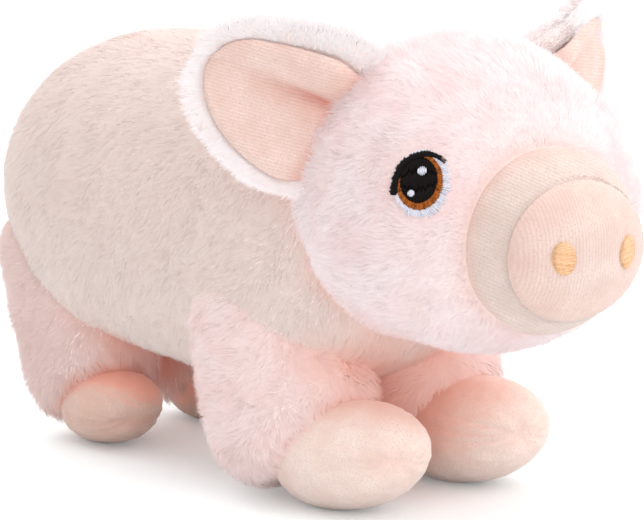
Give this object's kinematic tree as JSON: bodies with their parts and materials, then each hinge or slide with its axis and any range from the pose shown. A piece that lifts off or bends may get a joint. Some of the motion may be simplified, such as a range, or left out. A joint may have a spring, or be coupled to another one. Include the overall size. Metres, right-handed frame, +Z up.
{
  "type": "plush pig",
  "caption": "Stuffed plush pig standing on its feet, with soft cupped ears, an oval snout, embroidered eyes and nostrils, and a curled tail.",
  "frame": {"origin": "on the surface the toy stands on, under the centre of its box", "axes": "-Y towards the snout, +X towards the pig's left side, +Z up"},
  "size_m": [0.1038, 0.2072, 0.1079],
  "materials": {
    "fur": "medium-pile plush",
    "velour": "short-pile velour",
    "stuffing": "polyester fibre",
    "white_thread": "satin stitch",
    "black_thread": "satin stitch",
    "brown_thread": "satin stitch",
    "tan_thread": "satin stitch",
    "pink_thread": "hand-sewn seam"
  },
  "bodies": {
    "toy": {"eye_white_right": "white_thread", "iris_right": "brown_thread", "pupil_right": "black_thread", "eyelid_right": "black_thread", "glint_upper_right": "white_thread", "glint_lower_right": "white_thread", "nostril_right": "tan_thread", "front_leg_right": "fur", "front_leg_stuffing_right": "stuffing", "front_foot_right": "velour", "front_foot_stuffing_right": "stuffing", "hind_leg_right": "fur", "hind_leg_stuffing_right": "stuffing", "hind_foot_right": "velour", "hind_foot_stuffing_right": "stuffing", "eye_white_left": "white_thread", "iris_left": "brown_thread", "pupil_left": "black_thread", "eyelid_left": "black_thread", "glint_upper_left": "white_thread", "glint_lower_left": "white_thread", "nostril_left": "tan_thread", "front_leg_left": "fur", "front_leg_stuffing_left": "stuffing", "front_foot_left": "velour", "front_foot_stuffing_left": "stuffing", "hind_leg_left": "fur", "hind_leg_stuffing_left": "stuffing", "hind_foot_left": "velour", "hind_foot_stuffing_left": "stuffing", "torso": "fur", "closing_seam": "pink_thread", "torso_stuffing": "stuffing", "head": "fur", "head_stuffing": "stuffing", "snout_band": "velour", "snout_disc": "velour", "snout_stuffing": "stuffing"},
    "ear_right": {"ear_back_right": "fur", "ear_lining_right": "velour"},
    "ear_left": {"ear_back_left": "fur", "ear_lining_left": "velour"},
    "tail_curl": {"tail": "velour"}
  },
  "joints": [
    {"name": "ear_right_fold", "type": "hinge", "parent": "toy", "child": "ear_right", "pos_m": [-0.0269, -0.03821, 0.08505], "axis": [0.3456, -0.3196, 0.8823], "range_deg": [-15, 15], "stiffness_Nm_per_rad": 0.02},
    {"name": "ear_left_fold", "type": "hinge", "parent": "toy", "child": "ear_left", "pos_m": [0.01915, -0.04758, 0.08505], "axis": [-0.443, -0.1592, 0.8823], "range_deg": [-15, 15], "stiffness_Nm_per_rad": 0.02},
    {"name": "tail_swing", "type": "hinge", "parent": "toy", "child": "tail_curl", "pos_m": [-0.00416, 0.09303, 0.06146], "axis": [0, 0, 1], "range_deg": [-15, 15], "stiffness_Nm_per_rad": 0.002}
  ]
}
